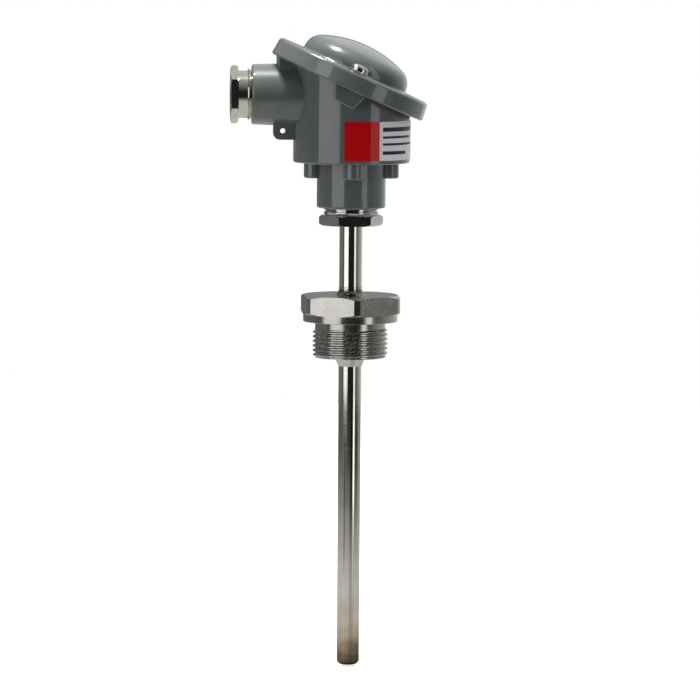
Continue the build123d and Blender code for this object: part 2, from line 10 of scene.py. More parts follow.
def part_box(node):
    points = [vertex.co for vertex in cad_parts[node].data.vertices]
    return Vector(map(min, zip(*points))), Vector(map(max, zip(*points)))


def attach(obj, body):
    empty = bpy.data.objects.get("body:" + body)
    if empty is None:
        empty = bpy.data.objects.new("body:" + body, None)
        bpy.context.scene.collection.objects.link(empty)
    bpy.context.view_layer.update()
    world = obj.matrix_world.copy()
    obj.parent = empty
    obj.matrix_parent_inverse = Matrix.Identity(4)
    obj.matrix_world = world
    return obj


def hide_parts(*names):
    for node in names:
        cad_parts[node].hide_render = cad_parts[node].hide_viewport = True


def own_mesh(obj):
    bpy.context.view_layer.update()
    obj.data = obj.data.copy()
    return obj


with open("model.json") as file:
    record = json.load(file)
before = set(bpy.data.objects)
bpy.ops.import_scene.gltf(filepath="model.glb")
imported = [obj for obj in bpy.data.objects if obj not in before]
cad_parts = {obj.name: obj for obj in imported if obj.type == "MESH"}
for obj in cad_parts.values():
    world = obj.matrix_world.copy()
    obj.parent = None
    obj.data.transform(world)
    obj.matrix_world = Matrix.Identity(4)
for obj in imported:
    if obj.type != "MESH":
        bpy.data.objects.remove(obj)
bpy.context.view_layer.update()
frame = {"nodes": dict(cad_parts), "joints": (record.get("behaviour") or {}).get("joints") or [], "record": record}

# Temperature sensor: finishes on its pieces, the fine thread, screws and springs, then lamps, floor, camera.
# The stem is the Z axis and the camera looks along +Y. Metres, but for sizes that are said to be millimetres.

NODES = frame["nodes"]
MM = 0.001

# Places read from the frame
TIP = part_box("tube_end_plug")[0].z
TUBE_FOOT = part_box("protection_tube")[0].z
HEX_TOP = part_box("process_connection")[1].z
WELD_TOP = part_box("weld_upper")[1].z
LABEL_LOW, LABEL_HIGH = (corner.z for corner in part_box("data_label"))
GLAND_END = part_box("gland_screw")[0].x

# Process connection, in millimetres and degrees
PROCESS_THREAD = {"crest_radius": 16.5, "depth": 1.15, "pitch": 2.03, "crest": 0.3}
THREAD_END = -15.9
UNDERCUT_TOP = -2.9
UNDERCUT_RADIUS = 15.45
RELIEF_RADIUS = 17.0
RELIEF_DEPTH = 0.3
COLLAR_RADIUS = 20.75
COLLAR_HEIGHT = 3.2
HEX_HALF_FLATS = 20.65
HEX_TURN = 4.5
BAR_RADIUS = 23.1
BAR_CHAMFER = 2.0
BAR_CHAMFER_HEIGHT = 1.0
TUBE_BORE = 5.05
EDGE_BREAK = 0.15
THREAD_FLANK = radians(30)

# Cover screws and their washers, in millimetres and degrees
HEAD_RADIUS = 4.25
HEAD_HEIGHT = 2.8
HEAD_WALL = 1.1
CROWN_POWER = 2.5
SLOT_WIDTH = 1.2
SLOT_DEPTH = 1.3
SLOT_TURN = 12.0
SHANK_THREAD = {"crest_radius": 2.5, "depth": 0.45, "pitch": 0.8, "crest": 0.12}
WASHER_RADIUS = 4.9
WASHER_BORE = 2.55
WASHER_HEIGHT = 1.0
WASHER_ROUND = 0.16

# Insert springs: wire radius in millimetres, turns, and the pitch of the closed ends against the open one
SPRING_WIRE = 0.5
SPRING_TURNS = 6.5
SPRING_END_PITCH = 0.35
SPRING_CLOSED_TURNS = 0.5

# Columns and rows of the surfaces; edges over so many degrees are sharp, points so many metres apart merge
FLAT_COLUMNS = 54
CORNER_COLUMNS = 8
THREAD_ROWS_PER_PITCH = 29
HEAD_COLUMNS = 22
SLOT_COLUMNS = 6
HEAD_ROWS = 41
WASHER_COLUMNS = 96
RIM_ROWS = 7
SHANK_COLUMNS = 48
SHANK_ROWS_PER_PITCH = 12
SPRING_ROWS_PER_TURN = 40
WIRE_COLUMNS = 14
SHARP_FROM = 20.0
SAME_POINT = 1e-8

# Camera, where the photograph was taken from: metres, degrees, and millimetres for lens and picture width
CAMERA_DISTANCE = 2.5
CAMERA_HEIGHT = 0.205
CAMERA_TURN = -3.0
CAMERA_ROLL = 0.43
CAMERA_SEES = (0.05, 200.0)
AIM_HEIGHT = -0.0128
PICTURE_WIDTH = 36.0
LENS = 293.0

# Room: the part of a direction over which each wall's light changes, and its light at both ends of that part
RIGHT_WALL = (-0.8, 0.9, 0.0, 0.76)
LEFT_WALL = (-0.6, 0.2, 0.0, 0.20)
RIGHT_FROM_LEFT = (-0.2, 0.2, 0.0, 1.0)
BEHIND = (0.93, 0.985, 1.0, 0.45)
CEILING = (0.2, 0.9, 0.02, 0.28)

# Lamps, in degrees and metres, and how bright each one's face is
LEFT_BOX = {"azimuth": -45.5, "distance": 1.2, "width": 0.98, "low": -0.15, "high": 0.75, "radiance": 1.8}
RIGHT_BOX = {"azimuth": 46.0, "distance": 0.6, "width": 0.185, "low": -0.152, "high": 0.5, "radiance": 1.45}
BACK_BOX = {"azimuth": 180.0, "distance": 1.3, "width": 0.9, "low": 0.35, "high": 1.15, "radiance": 4.0}
TOP_LAMP = {"height": 1.1, "forward": 0.02, "side": -0.2, "size": 0.22, "radiance": 130.0}
TOP_LAMP_AIM = 0.1

# Floor, in metres; its white and its glow are what the eye sees
FLOOR_GAP = 0.0006
FLOOR_RADIUS = 1.2
FLOOR_CORNERS = 96
FLOOR_GLOW = 0.7
FLOOR_WHITE = (0.8, 0.8, 0.8)
# How pale the parts see the floor, as painted light and shade that shows only in reflections and bounce: over
# metres from the stem, or over degrees from a direction of its own, which runs from the camera's side towards
# +X, each with its values at both ends
# Painted pool of light near the stem, dimmer at the front, darker farther out but for the far sides
NEAR_STEM = (0.25, 0.95, 1.0, 0.0)
NEAR_PALE = 0.40
FRONT_SIDE, FRONT_DIP = 30.0, (14.0, 34.0, 0.74, 1.0)
FAR_RIGHT = (80.0, 115.0, 0.05, 0.39)
FAR_LEFT = (-50.0, -75.0, 0.05, 0.13)
# Two painted dark lines and a painted bright line that carries on the right lamp's streak; the tube mirrors them
# as lines down its length
DARK_SIDE, DARK_LINE = 21.0, (8.0, 13.0, 0.15, 1.0)
DARK_FROM = (0.7, 0.4, 0.0, 1.0)
BRIGHT_SIDE, BRIGHT_LINE = 46.0, (5.0, 8.0, 0.38, 0.0)
BRIGHT_FROM = (0.2, 0.6, 0.0, 1.0)
LEFT_SIDE, LEFT_LINE = -46.7, (3.0, 8.0, 0.30, 1.0)
LEFT_FROM = (0.45, 0.32, 0.0, 1.0)


def link(tree, source, target):
    """Joins one node socket to another."""
    tree.links.new(source, target)


def node(tree, kind, **settings):
    """Adds a shader node and sets its plain properties."""
    made = tree.nodes.new(kind)
    for key, value in settings.items():
        setattr(made, key, value)
    return made


def feed(tree, socket, value):
    """Gives a socket a constant or joins another socket to it."""
    if isinstance(value, bpy.types.NodeSocket):
        link(tree, value, socket)
    else:
        socket.default_value = value


def arith(tree, operation, first, second=0.0):
    """One step of arithmetic on values."""
    step = node(tree, "ShaderNodeMath", operation=operation)
    for socket, value in zip(step.inputs, (first, second)):
        feed(tree, socket, value)
    return step.outputs[0]


def add(tree, first, second):
    """Sum of two values."""
    return arith(tree, "ADD", first, second)


def subtract(tree, first, second):
    """First value less the second."""
    return arith(tree, "SUBTRACT", first, second)


def multiply(tree, first, second):
    """Product of two values."""
    return arith(tree, "MULTIPLY", first, second)


def distance_from(tree, value, middle):
    """How far a value lies from a middle, on either side."""
    return arith(tree, "ABSOLUTE", subtract(tree, value, middle))


def distance_from_stem(tree, x, y):
    """Distance of a place from the stem's axis."""
    return arith(tree, "SQRT", add(tree, multiply(tree, x, x), multiply(tree, y, y)))


def angle_from_front(tree, x, y):
    """Angle round the stem's axis, from -Y towards +X."""
    return arith(tree, "ARCTAN2", x, multiply(tree, y, -1.0))


def object_place(tree, stretch=(1.0, 1.0, 1.0)):
    """Object coordinates, each times its stretch."""
    source = node(tree, "ShaderNodeTexCoord")
    mapping = node(tree, "ShaderNodeMapping")
    link(tree, source.outputs["Object"], mapping.inputs["Vector"])
    mapping.inputs["Scale"].default_value = stretch
    return mapping.outputs["Vector"]


def parts_of(tree, vector):
    """The three coordinates of a vector."""
    split = node(tree, "ShaderNodeSeparateXYZ")
    link(tree, vector, split.inputs[0])
    return split.outputs


def noise(tree, vector, cells, layers=3.0, rough=0.5):
    """Cloudy noise with so many cells a metre, finer layers, and each layer's weight against the last one."""
    made = node(tree, "ShaderNodeTexNoise")
    link(tree, vector, made.inputs["Vector"])
    made.inputs["Scale"].default_value = cells
    made.inputs["Detail"].default_value = layers
    made.inputs["Roughness"].default_value = rough
    return made.outputs["Fac"]


def remap(tree, value, low, high, out_low=0.0, out_high=1.0, smooth=False):
    """Stretches a value from one range to another and clips it there."""
    made = node(tree, "ShaderNodeMapRange", clamp=True)
    if smooth:
        made.interpolation_type = "SMOOTHSTEP"
    feed(tree, made.inputs["Value"], value)
    made.inputs["From Min"].default_value = low
    made.inputs["From Max"].default_value = high
    made.inputs["To Min"].default_value = out_low
    made.inputs["To Max"].default_value = out_high
    return made.outputs["Result"]


def remap_angle(tree, angle, low, high, out_low, out_high, smooth=True):
    """Stretches an angle from a range in degrees to another range and clips it there."""
    return remap(tree, angle, radians(low), radians(high), out_low, out_high, smooth)


def blend_colors(tree, share, first, second, how="MIX"):
    """Mixes two colours by a share from 0 to 1."""
    made = node(tree, "ShaderNodeMix", data_type="RGBA", blend_type=how)
    feed(tree, made.inputs["Factor"], share)
    for socket, value in ((made.inputs["A"], first), (made.inputs["B"], second)):
        feed(tree, socket, value if isinstance(value, bpy.types.NodeSocket) else (*value, 1.0))
    return made.outputs["Result"]


def color_steps(tree, value, stops):
    """Colour ramp through (place, colour) stops."""
    made = node(tree, "ShaderNodeValToRGB")
    feed(tree, made.inputs["Fac"], value)
    ramp = made.color_ramp
    while len(ramp.elements) < len(stops):
        ramp.elements.new(0.5)
    for element, (place, color) in zip(ramp.elements, stops):
        element.position = place
        element.color = (*color, 1.0)
    return made.outputs["Color"]


def relief(tree, height, depth, strength, below=None):
    """Bump from a height between 0 and 1, with a depth in metres and a strength, over the relief below it."""
    made = node(tree, "ShaderNodeBump")
    made.inputs["Strength"].default_value = strength
    made.inputs["Distance"].default_value = depth
    link(tree, height, made.inputs["Height"])
    if below is not None:
        link(tree, below, made.inputs["Normal"])
    return made.outputs["Normal"]


def finish_of(name, **sockets):
    """New material; gives its tree and its shader, with the shader's constants set."""
    material = bpy.data.materials.new(name)
    material.use_nodes = True
    tree = material.node_tree
    shader = tree.nodes["Principled BSDF"]
    for key, value in sockets.items():
        shader.inputs[key.replace("_", " ")].default_value = value
    return material, tree, shader


# Ranges of the noise that are stretched, for clouds of shade and for grain in gloss
CLOUD_SPAN = (0.35, 0.65)
GRAIN_SPAN = (0.3, 0.7)
# Width in metres over which one finish passes into the next
FINISH_EDGE = 0.0001

# In the finishes, a grain is cells a metre, layers and their weight, and a relief is depth and strength.
PAINT_SHADES = (0.094, 0.105, 0.108), (0.109, 0.120, 0.123)
PAINT_SPECK = (0.14, 0.14, 0.14)
PAINT_SPECK_SPAN = (0.62, 0.78, 0.0, 0.2)
PAINT_ROUGHNESS = (0.30, 0.38)
SPECK_GRAIN = (5200.0, 2.0, 0.7)
PEEL_GRAIN = (900.0, 2.0)
PEEL_RELIEF = (0.00001, 0.2)
CAST_GRAIN = (140.0, 3.0)
CAST_RELIEF = (0.0001, 0.1)


def head_paint():
    """Grey stoved paint: fine orange peel over the casting's faint unevenness, with small shifts in shade."""
    material, tree, shader = finish_of(
        "head_paint", Specular_IOR_Level=0.25, Coat_Weight=1.0, Coat_Roughness=0.07
    )
    place = object_place(tree)
    peel = noise(tree, place, *PEEL_GRAIN)
    cast = noise(tree, place, *CAST_GRAIN)
    speck = remap(tree, noise(tree, place, *SPECK_GRAIN), *PAINT_SPECK_SPAN)
    shade = blend_colors(tree, remap(tree, cast, *CLOUD_SPAN), *PAINT_SHADES)
    link(tree, blend_colors(tree, speck, shade, PAINT_SPECK), shader.inputs["Base Color"])
    link(tree, remap(tree, peel, *GRAIN_SPAN, *PAINT_ROUGHNESS), shader.inputs["Roughness"])
    uneven = relief(tree, cast, *CAST_RELIEF)
    skin = relief(tree, peel, *PEEL_RELIEF, uneven)
    link(tree, skin, shader.inputs["Normal"])
    link(tree, skin, shader.inputs["Coat Normal"])
    return material


def dull_skin(name, roughness, shades, cloud_grain, skin_grain, skin_relief):
    """Dull moulded or fired material: two shades in soft clouds under a fine grain."""
    material, tree, shader = finish_of(name, Roughness=roughness)
    place = object_place(tree)
    cloud = noise(tree, place, *cloud_grain)
    link(tree, blend_colors(tree, cloud, *shades), shader.inputs["Base Color"])
    link(tree, relief(tree, noise(tree, place, *skin_grain), *skin_relief), shader.inputs["Normal"])
    return material


METAL_CLOUDS = (160.0, 4.0)
METAL_LAYERS = (3.0, 0.6)
METAL_DEPTH = 0.000004


def bright_metal(name, dark, light, gloss, grain, strength=0.2):
    """Bare or plated metal: two shades in soft clouds, and so many grains a metre in gloss and relief."""
    material, tree, shader = finish_of(name, Metallic=1.0)
    place = object_place(tree)
    cloud = noise(tree, place, *METAL_CLOUDS)
    fine = noise(tree, place, grain, *METAL_LAYERS)
    link(tree, blend_colors(tree, remap(tree, cloud, *CLOUD_SPAN), dark, light), shader.inputs["Base Color"])
    link(tree, remap(tree, fine, *GRAIN_SPAN, *gloss), shader.inputs["Roughness"])
    link(tree, relief(tree, fine, METAL_DEPTH, strength), shader.inputs["Normal"])
    return material


# Label: where the red field ends and how wide the grey one is, in degrees; bars as middle, half height,
# start and end
LABEL_SPLIT = 25.2
LABEL_WIDTH = 60.0
LABEL_BARS = [
    (0.80, 0.055, 0.06, 0.95),
    (0.60, 0.030, 0.06, 0.80),
    (0.42, 0.030, 0.06, 0.90),
    (0.20, 0.045, 0.06, 0.62),
]
LABEL_SPLIT_EDGE = (-0.0015, 0.0015)
LABEL_RED = (0.50, 0.002, 0.004), (0.56, 0.003, 0.006)
LABEL_SILVER = (0.74, 0.75, 0.79), (0.82, 0.83, 0.87)
LABEL_INK = (0.035, 0.035, 0.04)
LABEL_CLOUDS = (260.0, 3.0)
LABEL_GRAIN = 1500.0
LABEL_RELIEF = (0.00002, 0.2)


def label_foil():
    """Printed foil bent round the body: a red field, then a silver-grey field with a few plain dark bars."""
    material, tree, shader = finish_of(
        "label_foil", Roughness=0.5, Specular_IOR_Level=0.05, Coat_Weight=0.35, Coat_Roughness=0.04
    )
    place = object_place(tree)
    x, y, z = parts_of(tree, place)
    from_split = subtract(tree, angle_from_front(tree, x, y), radians(LABEL_SPLIT))
    along = arith(tree, "DIVIDE", from_split, radians(LABEL_WIDTH))
    up = arith(tree, "DIVIDE", subtract(tree, z, LABEL_LOW), LABEL_HIGH - LABEL_LOW)
    cloud = noise(tree, place, *LABEL_CLOUDS)
    ink = 0.0
    for middle, half, start, end in LABEL_BARS:
        row = arith(tree, "LESS_THAN", distance_from(tree, up, middle), half)
        span = arith(tree, "LESS_THAN", distance_from(tree, along, (start + end) / 2), (end - start) / 2)
        ink = arith(tree, "MAXIMUM", ink, multiply(tree, row, span))
    red = blend_colors(tree, cloud, *LABEL_RED)
    silver = blend_colors(tree, ink, blend_colors(tree, cloud, *LABEL_SILVER), LABEL_INK)
    silver_side = remap(tree, along, *LABEL_SPLIT_EDGE)
    link(tree, blend_colors(tree, silver_side, red, silver), shader.inputs["Base Color"])
    link(tree, relief(tree, noise(tree, place, LABEL_GRAIN), *LABEL_RELIEF), shader.inputs["Normal"])
    return material


TURNED_SHADES = (0.36, 0.355, 0.34), (0.44, 0.435, 0.415)
MILLED_SHADES = (0.46, 0.45, 0.42), (0.56, 0.55, 0.515)
STEEL_PIT = (0.27, 0.245, 0.20)
STEEL_PIT_SPAN = (0.52, 0.66)
STEEL_PIT_SHARE = 0.6
STEEL_PIT_HEIGHT = -0.5
TURNED_ROUGHNESS = (0.17, 0.22)
MILLED_ROUGHNESS_MORE = 0.08
TURNED_CORNERS = ((BAR_RADIUS - 0.3) * MM, (BAR_RADIUS - 0.1) * MM)
STEEL_CLOUDS = (220.0, 4.0)
STEEL_PITS = (2600.0, 3.0, 0.8)
FEED_PITCH = 0.00022
FEED_HEIGHT = 0.08
STEEL_RELIEF = (0.00001, 0.3)


def machined_steel():
    """Turned and milled stainless steel: fine feed rings where it is turned, a speckled skin on the flats."""
    material, tree, shader = finish_of("process_steel", Metallic=1.0)
    place = object_place(tree)
    x, y, z = parts_of(tree, place)
    radius = distance_from_stem(tree, x, y)
    collar, undercut = COLLAR_HEIGHT * MM, UNDERCUT_TOP * MM
    over_collar = remap(tree, z, collar - FINISH_EDGE, collar + FINISH_EDGE)
    under_top = remap(tree, z, HEX_TOP - FINISH_EDGE, HEX_TOP, 1.0, 0.0)
    in_corners = remap(tree, radius, *TURNED_CORNERS, 1.0, 0.0)
    milled = multiply(tree, multiply(tree, over_collar, under_top), in_corners)
    cloud = noise(tree, place, *STEEL_CLOUDS)
    pits = multiply(tree, remap(tree, noise(tree, place, *STEEL_PITS), *STEEL_PIT_SPAN), milled)
    rings = arith(tree, "SINE", multiply(tree, add(tree, radius, z), 2 * pi / FEED_PITCH))
    share = remap(tree, cloud, *CLOUD_SPAN)
    turned_steel = blend_colors(tree, share, *TURNED_SHADES)
    milled_steel = blend_colors(tree, share, *MILLED_SHADES)
    steel = blend_colors(tree, milled, turned_steel, milled_steel)
    color = blend_colors(tree, multiply(tree, pits, STEEL_PIT_SHARE), steel, STEEL_PIT)
    link(tree, color, shader.inputs["Base Color"])
    gloss = remap(tree, cloud, *GRAIN_SPAN, *TURNED_ROUGHNESS)
    rougher = multiply(tree, milled, MILLED_ROUGHNESS_MORE)
    link(tree, add(tree, gloss, rougher), shader.inputs["Roughness"])
    over_undercut = remap(tree, z, undercut, undercut + FINISH_EDGE)
    turned = multiply(tree, subtract(tree, 1.0, milled), over_undercut)
    turned_rings = multiply(tree, multiply(tree, rings, FEED_HEIGHT), turned)
    height = add(tree, turned_rings, multiply(tree, pits, STEEL_PIT_HEIGHT))
    link(tree, relief(tree, height, *STEEL_RELIEF), shader.inputs["Normal"])
    return material


# Heat tint over the steel, from the tip up over its reach
TINT_REACH = 0.034
TINT_WANDER = 0.012
TIP_TINT = [
    (0.0, (0.24, 0.20, 0.13)),
    (0.12, (0.27, 0.22, 0.145)),
    (0.32, (0.58, 0.46, 0.34)),
    (0.42, (0.80, 0.68, 0.54)),
    (0.58, (0.93, 0.85, 0.72)),
    (1.0, (1.0, 0.985, 0.945)),
]
TIP_ROUGHNESS_MORE = 0.14
TUBE_SHADES = (0.56, 0.545, 0.515), (0.65, 0.635, 0.605)
TUBE_ROUGHNESS = (0.06, 0.10)
TUBE_CLOUDS = (120.0, 4.0)
TUBE_RELIEF = (0.000003, 0.15)
GROUND_STRETCH = (60.0, 60.0, 3000.0)
GROUND_GRAIN = (1.0, 3.0, 0.6)
DRAWN_STRETCH = (1.0, 1.0, 0.004)
DRAWN_GRAIN = (800.0, 3.0, 0.7)
DRAWN_SPAN = (0.4, 0.7, 0.0, 0.45)
DRAWN_SHADE = (0.44, 0.425, 0.39)
SEAM_SHADE = (0.05, 0.04, 0.035)
SEAM_SPAN = (0.0001, 0.0006, 0.3, 0.0)


def polished_tube():
    """Polished tube: lines from drawing, rings from grinding, a brown heat tint towards its welded tip."""
    material, tree, shader = finish_of("tube_steel", Metallic=1.0)
    place = object_place(tree)
    z = parts_of(tree, place)["Z"]
    cloud = noise(tree, place, *TUBE_CLOUDS)
    ground = noise(tree, object_place(tree, GROUND_STRETCH), *GROUND_GRAIN)
    drawn = noise(tree, object_place(tree, DRAWN_STRETCH), *DRAWN_GRAIN)
    steel = blend_colors(tree, remap(tree, cloud, *CLOUD_SPAN), *TUBE_SHADES)
    steel = blend_colors(tree, remap(tree, drawn, *DRAWN_SPAN), steel, DRAWN_SHADE)
    wander = multiply(tree, subtract(tree, cloud, 0.5), TINT_WANDER)
    height = subtract(tree, add(tree, z, wander), TIP)
    tint = color_steps(tree, arith(tree, "DIVIDE", height, TINT_REACH), TIP_TINT)
    tinted = blend_colors(tree, 1.0, steel, tint, "MULTIPLY")
    seam = remap(tree, distance_from(tree, z, TUBE_FOOT), *SEAM_SPAN)
    link(tree, blend_colors(tree, seam, tinted, SEAM_SHADE), shader.inputs["Base Color"])
    gloss = remap(tree, ground, *GRAIN_SPAN, *TUBE_ROUGHNESS)
    rougher = remap(tree, height, 0.0, TINT_REACH, TIP_ROUGHNESS_MORE, 0.0)
    link(tree, add(tree, gloss, rougher), shader.inputs["Roughness"])
    link(tree, relief(tree, ground, *TUBE_RELIEF), shader.inputs["Normal"])
    return material


UPPER_WELD_TOP_SHADE = (0.57, 0.555, 0.525)
# Foot of the upper weld: painted shade that stands in for the flare's dark reflections, with a faint warm heat
# colour in it
UPPER_WELD_HEAT_TINT_AND_PAINTED_SHADE = [(0.35, (0.13, 0.13, 0.13)), (0.5, (0.21, 0.19, 0.15)), (0.65, (0.10, 0.10, 0.105))]
UPPER_WELD_FADE = (WELD_TOP - 0.0002, WELD_TOP - 0.0016)
UPPER_WELD_CLOUDS = (420.0, 3.0)
UPPER_WELD_ROUGHNESS = (0.06, 0.10)
UPPER_WELD_RELIEF = (0.00002, 0.15)


def upper_weld():
    """Upper weld, ground and polished: the tube's tone at its top; at its foot, painted shade for the flare's dark
    reflections, with faint heat colours.
    """
    material, tree, shader = finish_of("upper_weld", Metallic=1.0)
    place = object_place(tree)
    cloud = noise(tree, place, *UPPER_WELD_CLOUDS)
    foot = remap(tree, parts_of(tree, place)["Z"], *UPPER_WELD_FADE, smooth=True)
    tint = color_steps(tree, cloud, UPPER_WELD_HEAT_TINT_AND_PAINTED_SHADE)
    link(tree, blend_colors(tree, foot, UPPER_WELD_TOP_SHADE, tint), shader.inputs["Base Color"])
    link(tree, remap(tree, cloud, *GRAIN_SPAN, *UPPER_WELD_ROUGHNESS), shader.inputs["Roughness"])
    link(tree, relief(tree, cloud, *UPPER_WELD_RELIEF), shader.inputs["Normal"])
    return material


LOWER_WELD_TINT = [
    (0.3, (0.55, 0.54, 0.51)),
    (0.5, (0.56, 0.53, 0.47)),
    (0.62, (0.46, 0.45, 0.45)),
    (0.75, (0.56, 0.55, 0.53)),
]
LOWER_WELD_CLOUDS = (700.0, 3.0)
LOWER_WELD_ROUGHNESS = (0.09, 0.16)
LOWER_WELD_RELIEF = (0.00004, 0.2)


def lower_weld():
    """Polished weld, its heat colours ground off but for faint warm and cool clouds."""
    material, tree, shader = finish_of("weld_steel", Metallic=1.0)
    ripple = noise(tree, object_place(tree), *LOWER_WELD_CLOUDS)
    link(tree, color_steps(tree, ripple, LOWER_WELD_TINT), shader.inputs["Base Color"])
    link(tree, remap(tree, ripple, *GRAIN_SPAN, *LOWER_WELD_ROUGHNESS), shader.inputs["Roughness"])
    link(tree, relief(tree, ripple, *LOWER_WELD_RELIEF), shader.inputs["Normal"])
    return material


GLAND_HEX_EDGE = (GLAND_END + 0.0034, GLAND_END + 0.0036)
GLAND_SHADES = (0.54, 0.52, 0.455), (0.66, 0.635, 0.56)
GLAND_PIT = (0.24, 0.22, 0.17)
GLAND_PIT_SPAN = (0.5, 0.62)
GLAND_PIT_SHARE = 0.55
GLAND_PIT_ROUGHNESS_MORE = 0.12
GLAND_PITS = (1900.0, 3.0, 0.8)
GLAND_GRAIN = (1500.0, 3.0, 0.6)
GLAND_ROUGHNESS = (0.07, 0.13)
GLAND_RELIEF = (0.000006, 0.2)


def gland_nickel():
    """Nickel-plated brass: warm clouds, dark pits on the hexagon, fine grain in gloss and relief."""
    material, tree, shader = finish_of("gland_nickel", Metallic=1.0)
    place = object_place(tree)
    on_hexagon = remap(tree, parts_of(tree, place)["X"], *GLAND_HEX_EDGE, 1.0, 0.0)
    cloud = noise(tree, place, *METAL_CLOUDS)
    pits = multiply(tree, remap(tree, noise(tree, place, *GLAND_PITS), *GLAND_PIT_SPAN), on_hexagon)
    plate = blend_colors(tree, remap(tree, cloud, *CLOUD_SPAN), *GLAND_SHADES)
    color = blend_colors(tree, multiply(tree, pits, GLAND_PIT_SHARE), plate, GLAND_PIT)
    link(tree, color, shader.inputs["Base Color"])
    grain = noise(tree, place, *GLAND_GRAIN)
    gloss = remap(tree, grain, *GRAIN_SPAN, *GLAND_ROUGHNESS)
    rougher = multiply(tree, pits, GLAND_PIT_ROUGHNESS_MORE)
    link(tree, add(tree, gloss, rougher), shader.inputs["Roughness"])
    link(tree, relief(tree, subtract(tree, grain, pits), *GLAND_RELIEF), shader.inputs["Normal"])
    return material


# Dull skins: roughness, dark and light shade, grain of the clouds, grain of the skin, its relief
DULL_SKINS = {
    "gasket_rubber": (
        0.75, ((0.018, 0.018, 0.018), (0.045, 0.044, 0.042)), (300.0, 4.0), (4000.0,), (0.00003, 0.5)
    ),
    "ceramic": (0.62, ((0.66, 0.62, 0.54), (0.76, 0.73, 0.66)), (240.0, 4.0), (3800.0,), (0.00003, 0.4)),
}
# Plain bright metals: dark shade, light shade, roughness from and to, grains a metre, strength of the relief
BRIGHT_METALS = {
    "screw_steel": ((0.40, 0.39, 0.38), (0.54, 0.53, 0.51), (0.05, 0.09), 1800.0, 0.08),
    "neck_nickel": ((0.46, 0.45, 0.43), (0.58, 0.57, 0.55), (0.06, 0.11), 2200.0),
    "insert_steel": ((0.48, 0.47, 0.45), (0.60, 0.59, 0.57), (0.24, 0.36), 2000.0),
    "clamp_brass": ((0.58, 0.42, 0.16), (0.72, 0.55, 0.25), (0.22, 0.34), 1800.0),
    "spring_steel": ((0.32, 0.31, 0.29), (0.42, 0.41, 0.39), (0.26, 0.38), 2400.0),
    "wire_nickel": ((0.56, 0.54, 0.49), (0.66, 0.64, 0.59), (0.26, 0.38), 3000.0),
}
FINISHES = {name: bright_metal(name, *values) for name, values in BRIGHT_METALS.items()}
FINISHES |= {name: dull_skin(name, *values) for name, values in DULL_SKINS.items()}
FINISHES |= {
    "head_paint": head_paint(),
    "label_foil": label_foil(),
    "gland_nickel": gland_nickel(),
    "process_steel": machined_steel(),
    "tube_steel": polished_tube(),
    "weld_steel": lower_weld(),
}


def dress_nodes():
    """Gives each piece the finish that its slot names, and the upper weld its own."""
    for part in frame["record"]["subparts"]:
        piece = NODES[part["node"]]
        piece.data.materials.clear()
        piece.data.materials.append(FINISHES[part["material_slot"]])
    NODES["weld_upper"].data.materials[0] = upper_weld()


def joint_of(name):
    """The joint of that name in the frame."""
    return next(joint for joint in frame["joints"] if joint["name"] == name)


def surface(name, points, finish, around=True, along=False):
    """Piece from a grid of points in mm: a face between each point and its next ones along rows and columns,
    closed round the columns and, where along is set, from the last row to the first; doubles are merged."""
    rows, columns = points.shape[:2]
    index = np.arange(rows * columns).reshape(rows, columns)
    if around:
        index = np.concatenate([index, index[:, :1]], axis=1)
    if along:
        index = np.concatenate([index, index[:1]], axis=0)
    corners = (index[:-1, :-1], index[:-1, 1:], index[1:, 1:], index[1:, :-1])
    faces = np.stack(corners, axis=-1).reshape(-1, 4)
    mesh = bpy.data.meshes.new(name)
    mesh.from_pydata((points.reshape(-1, 3) * MM).tolist(), [], faces.tolist())
    work = bmesh.new()
    work.from_mesh(mesh)
    bmesh.ops.remove_doubles(work, verts=work.verts, dist=SAME_POINT)
    bmesh.ops.recalc_face_normals(work, faces=work.faces)
    work.to_mesh(mesh)
    work.free()
    mesh.shade_smooth()
    mesh.set_sharp_from_angle(angle=radians(SHARP_FROM))
    mesh.materials.append(finish)
    piece = bpy.data.objects.new(name, mesh)
    bpy.context.scene.collection.objects.link(piece)
    return piece


def full_turn(columns):
    """Angles of so many columns round a full turn."""
    return np.linspace(0.0, 2 * pi, columns + 1)[:-1]


def eased(share):
    """Smooth step of a share from 0 to 1: three times its square less twice its cube."""
    return share * share * (3.0 - 2.0 * share)


def lathe(radii, heights, theta):
    """Points at the given radii and heights, both (rows, columns), at the angles of the columns."""
    return np.stack([radii * np.cos(theta), radii * np.sin(theta), heights], axis=-1)


def threaded(z, theta, low, high, crest_radius, depth, pitch, crest):
    """Radius of a right-hand thread at height z and angle theta. The distance from the nearest crest line,
    which climbs one pitch a turn, less half the crest, over the flank's width, gives a ramp from 0 to 1; the
    mean of the ramp and its smooth step, times the depth, is taken off the crest radius. Cones cut both ends
    down to the root."""
    turn = (z - low) / pitch - theta / (2 * pi)
    off_crest = np.abs(turn - np.round(turn)) * pitch
    ramp = np.clip((off_crest - crest / 2) / (depth * np.tan(THREAD_FLANK)), 0.0, 1.0)
    ridge = crest_radius - depth * (ramp + eased(ramp)) / 2
    root = crest_radius - depth
    return np.maximum(root, np.minimum(ridge, root + np.minimum(z - low, high - z)))


def hexagon_columns():
    """Angles of the columns round the hexagon, with one at each end of every flat and rounded corner, and
    each column's angle from the middle of its flat."""
    flat_end = np.arccos(HEX_HALF_FLATS / BAR_RADIUS)
    over_flat = np.linspace(-flat_end, flat_end, FLAT_COLUMNS)
    over_corner = np.linspace(flat_end, pi / 3 - flat_end, CORNER_COLUMNS)[1:-1]
    one_side = np.concatenate([over_flat, over_corner])
    first = radians(HEX_TURN) - pi / 2 + pi / 6
    theta = (first + np.arange(6)[:, None] * pi / 3 + one_side[None, :]).reshape(-1)
    from_middle = np.tile((one_side + pi / 6) % (pi / 3) - pi / 6, 6)
    return theta, from_middle


